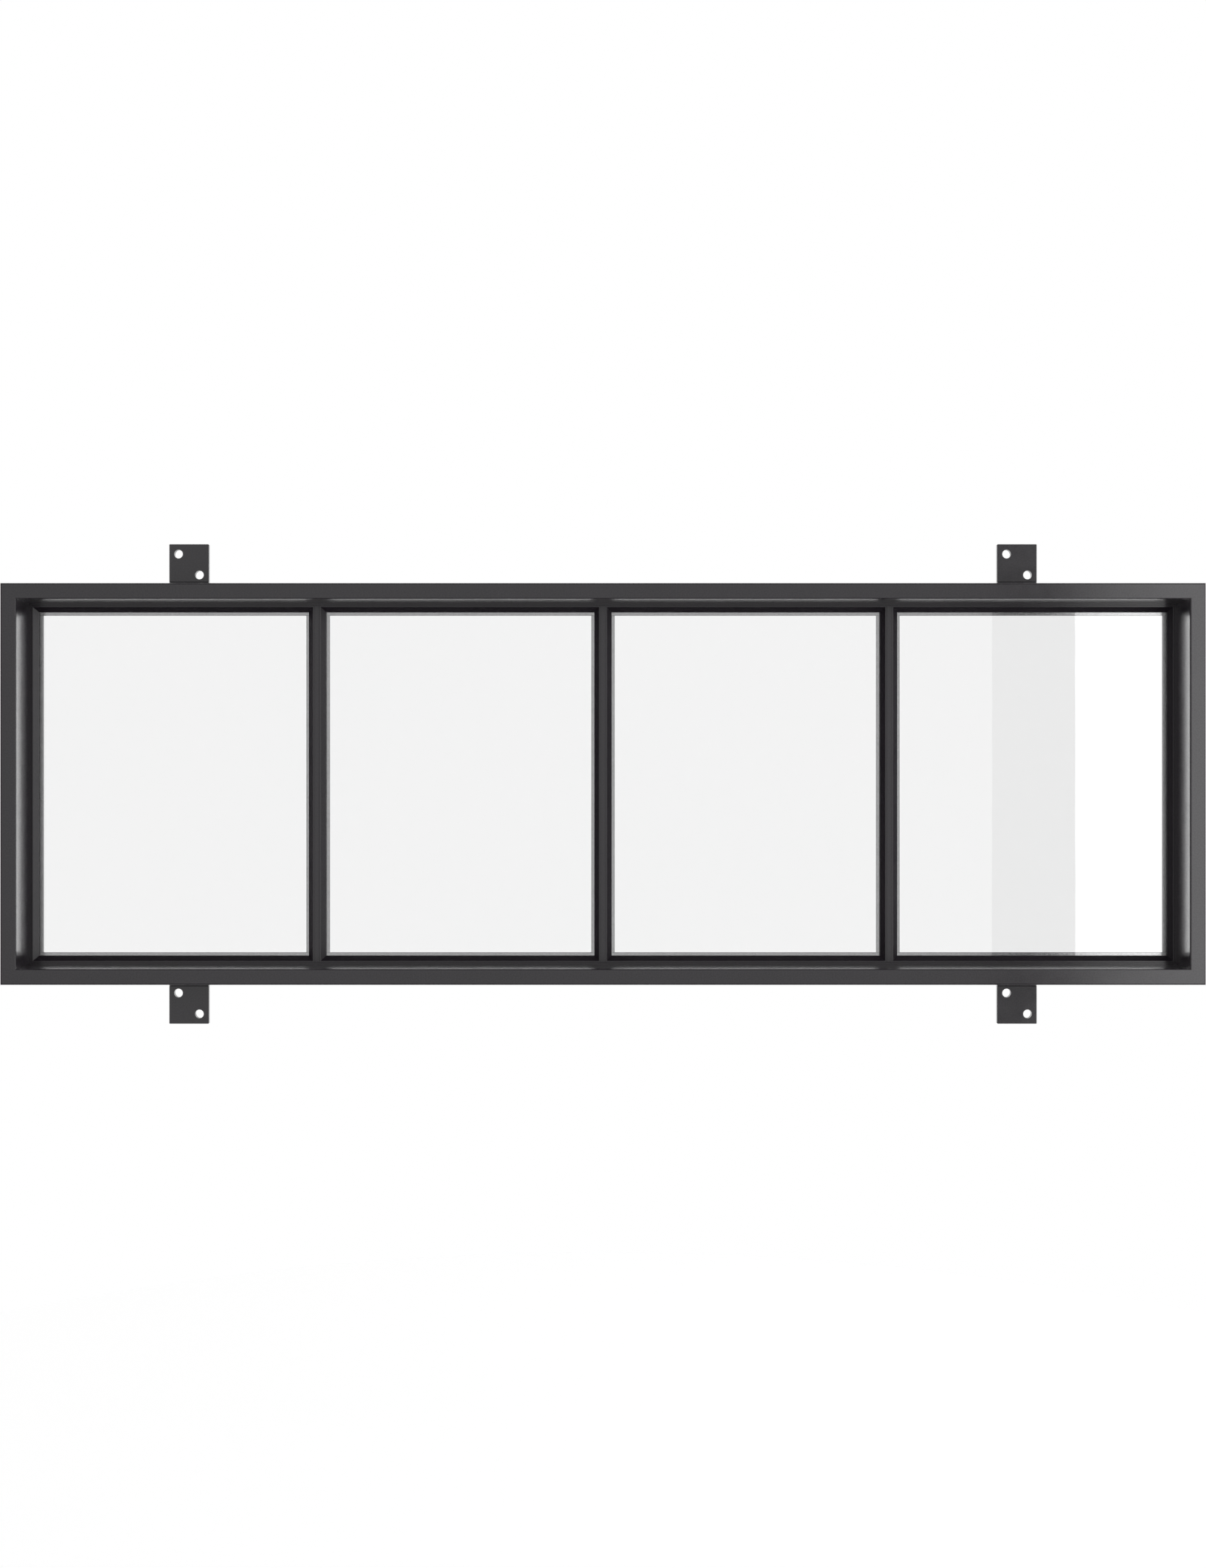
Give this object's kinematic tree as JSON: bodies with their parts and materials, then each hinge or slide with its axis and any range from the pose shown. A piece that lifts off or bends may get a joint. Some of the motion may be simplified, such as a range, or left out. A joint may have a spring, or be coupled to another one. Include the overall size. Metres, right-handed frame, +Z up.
{
  "type": "fixed steel window",
  "caption": "Fixed steel window: a row of clear panes in bevelled beads between slim upright bars, in a rectangular tube frame with drilled wall brackets.",
  "frame": {"origin": "on the wall face of the lower left bracket tab, midway between its two holes", "axes": "+X to the right along the window as seen from its front, +Y from the front face back towards the wall, +Z up"},
  "size_m": [1.5, 0.06, 0.608],
  "materials": {
    "frame_paint": "fine satin powder coat, charcoal",
    "bar_paint": "fine satin powder coat, charcoal",
    "bead_paint": "fine satin powder coat, charcoal",
    "bracket_paint": "fine satin powder coat, charcoal",
    "clear_glass": "clear float glass",
    "glazing_tape": "silver-grey foil-faced butyl glazing tape"
  },
  "bodies": {
    "root": {"head_frame_tube": "frame_paint", "head_rebate_angle": "bar_paint", "sill_frame_tube": "frame_paint", "sill_rebate_angle": "bar_paint", "left_frame_tube": "frame_paint", "left_rebate_angle": "bar_paint", "right_frame_tube": "frame_paint", "right_rebate_angle": "bar_paint", "mullion_1": "bar_paint", "mullion_2": "bar_paint", "mullion_3": "bar_paint", "pane_1_glass": "clear_glass", "pane_1_tape": "glazing_tape", "pane_1_head_bead": "bead_paint", "pane_1_sill_bead": "bead_paint", "pane_1_left_bead": "bead_paint", "pane_1_right_bead": "bead_paint", "pane_2_glass": "clear_glass", "pane_2_tape": "glazing_tape", "pane_2_head_bead": "bead_paint", "pane_2_sill_bead": "bead_paint", "pane_2_left_bead": "bead_paint", "pane_2_right_bead": "bead_paint", "pane_3_glass": "clear_glass", "pane_3_tape": "glazing_tape", "pane_3_head_bead": "bead_paint", "pane_3_sill_bead": "bead_paint", "pane_3_left_bead": "bead_paint", "pane_3_right_bead": "bead_paint", "pane_4_glass": "clear_glass", "pane_4_tape": "glazing_tape", "pane_4_head_bead": "bead_paint", "pane_4_sill_bead": "bead_paint", "pane_4_left_bead": "bead_paint", "pane_4_right_bead": "bead_paint", "upper_left_bracket_foot": "bracket_paint", "upper_left_bracket_tab": "bracket_paint", "upper_right_bracket_foot": "bracket_paint", "upper_right_bracket_tab": "bracket_paint", "lower_left_bracket_foot": "bracket_paint", "lower_left_bracket_tab": "bracket_paint", "lower_right_bracket_foot": "bracket_paint", "lower_right_bracket_tab": "bracket_paint"}
  },
  "joints": []
}
